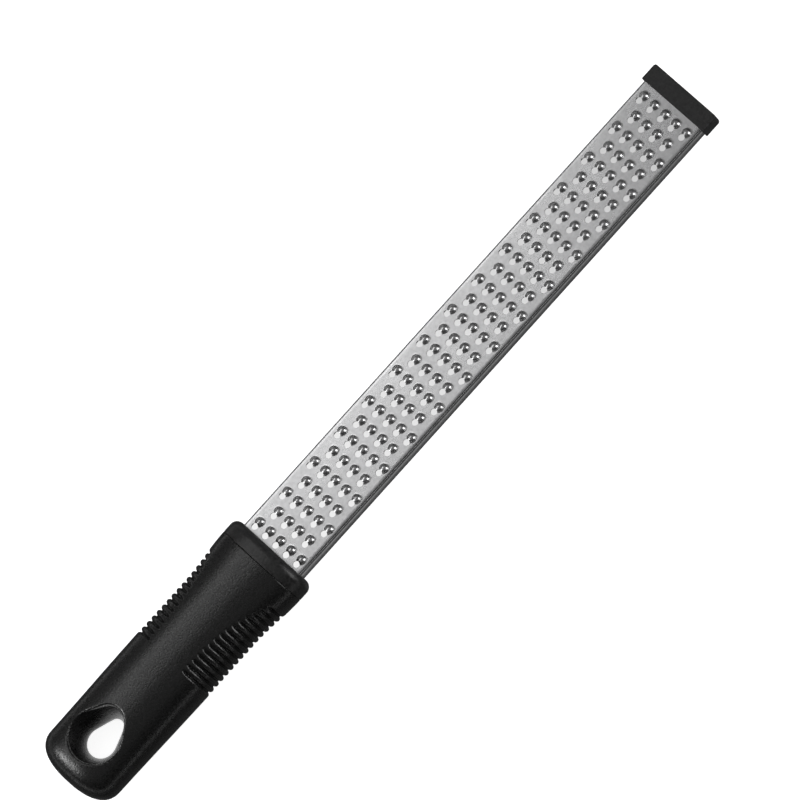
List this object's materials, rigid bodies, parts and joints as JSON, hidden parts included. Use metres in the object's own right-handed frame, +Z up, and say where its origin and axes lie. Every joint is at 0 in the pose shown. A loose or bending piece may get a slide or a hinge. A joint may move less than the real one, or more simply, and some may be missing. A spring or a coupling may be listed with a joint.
{
  "type": "rasp zester",
  "caption": "Long narrow hand rasp: a folded steel strip with rows of raised cutting teeth, a soft ribbed grip with a hanging hole, and a cap over the tip.",
  "frame": {"origin": "centre of the bounding box's bottom face, on the surface that the handle's underside rests on", "axes": "+X along the tool from the handle to the tip, +Z up with the teeth on top, +Y to the left seen from behind the handle"},
  "size_m": [0.3, 0.0336, 0.0221],
  "materials": {
    "steel": "fine satin sheet steel",
    "cap": "matte black moulded plastic",
    "collar": "black moulded plastic, slightly mottled",
    "core": "black moulded plastic, hidden",
    "grip": "soft black satin rubber with a fine grain"
  },
  "bodies": {
    "root": {"rasp_blade": "steel", "tip_cap": "cap", "front_collar": "collar", "core_lower": "core", "core_upper": "core", "grip_sleeve": "grip"}
  },
  "joints": []
}
